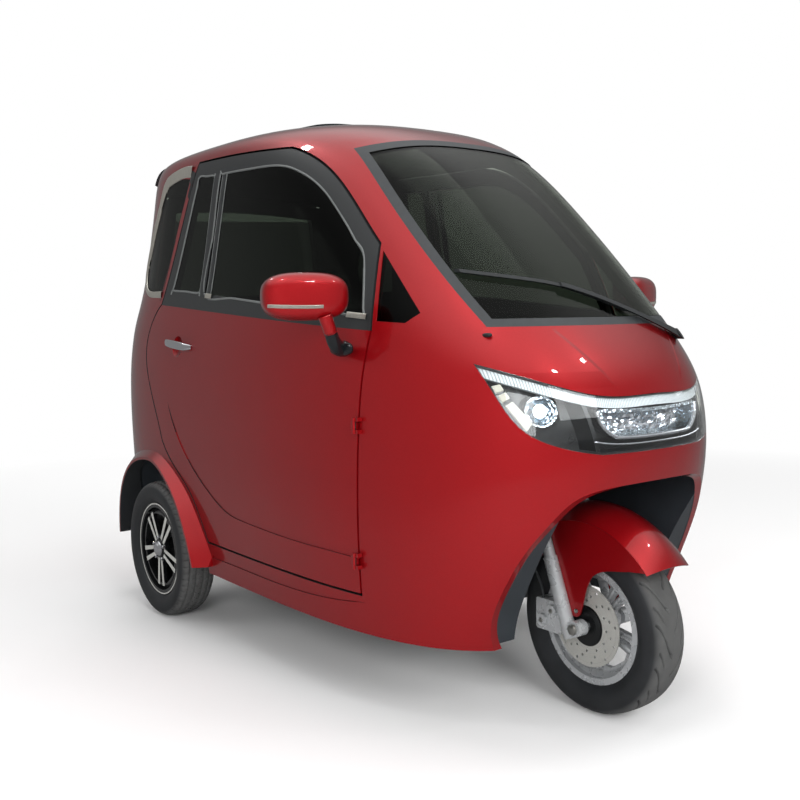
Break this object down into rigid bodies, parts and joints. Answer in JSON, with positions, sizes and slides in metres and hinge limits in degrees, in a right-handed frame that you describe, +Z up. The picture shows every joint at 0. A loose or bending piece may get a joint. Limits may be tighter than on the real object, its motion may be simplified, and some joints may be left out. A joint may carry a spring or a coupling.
{
  "type": "three wheeled car",
  "caption": "Small enclosed three-wheeled electric car with one steered front wheel, two rear wheels, two doors and a lifting tailgate.",
  "frame": {"origin": "on the ground under the middle of the overall length and width", "axes": "+X forward, +Y to the car's left, +Z up"},
  "size_m": [2.297, 1.596, 1.7319],
  "materials": {
    "body_paint": "metallic red lacquer",
    "dark_frame": "satin dark grey powder coat",
    "dark_glass": "tinted glass",
    "screen_glass": "tinted laminated glass",
    "seal_rubber": "matt",
    "lamp_cover": "clear polycarbonate",
    "tail_lamp_red": "red lens",
    "black_plastic": "moulded black plastic",
    "silver_trim": "satin silver",
    "bright_chrome": "polished",
    "tyre_rubber": "tyre rubber",
    "wheel_alloy": "cast alloy",
    "steel_parts": "steel",
    "black_steel": "black paint",
    "motor_casting": "cast housing",
    "seat_cover": "black imitation leather",
    "floor_sheet": "grey floor sheet"
  },
  "bodies": {
    "chassis": {"roof_and_pillars": "body_paint", "front_cowl": "body_paint", "rear_body": "body_paint", "sills": "body_paint", "windscreen": "screen_glass", "windscreen_seal": "seal_rubber", "fixed_side_panes": "dark_glass", "quarter_trim": "silver_trim", "headlamp_cover": "lamp_cover", "headlamp_tray": "black_plastic", "headlamp_light_bar": "lamp_cover", "headlamp_reflectors": "bright_chrome", "wiper": "black_plastic", "tail_lamps": "tail_lamp_red", "door_hinges": "body_paint", "sunroof": "dark_glass", "plate_bracket": "black_plastic", "tailgate_hinges": "body_paint", "rear_axle": "black_steel", "drive_motor": "motor_casting", "rear_springs": "black_steel", "rear_wheel_housings": "black_plastic", "floor_pan": "floor_sheet", "front_arch_liner": "black_plastic", "steering_head": "black_steel", "dashboard": "black_plastic", "seat_box": "floor_sheet", "front_seat": "seat_cover", "rear_bench": "seat_cover"},
    "door_right": {"door_panel_right": "body_paint", "door_frame_right": "dark_frame", "door_glass_right": "dark_glass", "mirror_shell_right": "body_paint", "mirror_stalk_right": "black_plastic", "door_handle_right": "bright_chrome"},
    "door_left": {"door_panel_left": "body_paint", "door_frame_left": "dark_frame", "door_glass_left": "dark_glass", "mirror_shell_left": "body_paint", "mirror_stalk_left": "black_plastic", "door_handle_left": "bright_chrome"},
    "tailgate": {"tailgate_panel": "body_paint", "tailgate_glass": "dark_glass", "tailgate_pull": "bright_chrome"},
    "front_wheel": {"front_rim": "wheel_alloy", "front_tyre": "tyre_rubber", "brake_disc": "steel_parts"},
    "rear_wheel_right": {"rear_rim_right": "wheel_alloy", "rear_tyre_right": "tyre_rubber"},
    "rear_wheel_left": {"rear_rim_left": "wheel_alloy", "rear_tyre_left": "tyre_rubber"},
    "fork": {"fork_crown": "bright_chrome", "fork_sliders": "wheel_alloy", "front_axle": "steel_parts", "front_fender": "body_paint", "brake_calliper": "wheel_alloy", "brake_hose": "seal_rubber", "handlebar": "black_steel"}
  },
  "joints": [
    {"name": "steering", "type": "hinge", "parent": "chassis", "child": "fork", "pos_m": [0.87, 0, 0.2435], "axis": [-0.3502, 0, 0.9367], "range_deg": [-30, 30]},
    {"name": "front_wheel_spin", "type": "hinge", "parent": "fork", "child": "front_wheel", "pos_m": [0.905, 0, 0.2435], "axis": [0, 1, 0], "continuous": true},
    {"name": "rear_wheel_right_spin", "type": "hinge", "parent": "chassis", "child": "rear_wheel_right", "pos_m": [-0.7, -0.54, 0.2475], "axis": [0, 1, 0], "continuous": true},
    {"name": "rear_wheel_left_spin", "type": "hinge", "parent": "chassis", "child": "rear_wheel_left", "pos_m": [-0.7, 0.54, 0.2475], "axis": [0, 1, 0], "continuous": true},
    {"name": "door_right_swing", "type": "hinge", "parent": "chassis", "child": "door_right", "pos_m": [0.5155, -0.552, 0.335], "axis": [0.0307, 0, 0.9995], "range_deg": [0, 65]},
    {"name": "door_left_swing", "type": "hinge", "parent": "chassis", "child": "door_left", "pos_m": [0.5155, 0.552, 0.335], "axis": [0.0307, 0, 0.9995], "range_deg": [-65, 0]},
    {"name": "tailgate_lift", "type": "hinge", "parent": "chassis", "child": "tailgate", "pos_m": [-1.082, 0, 1.5785], "axis": [0, 1, 0], "range_deg": [0, 75]}
  ]
}
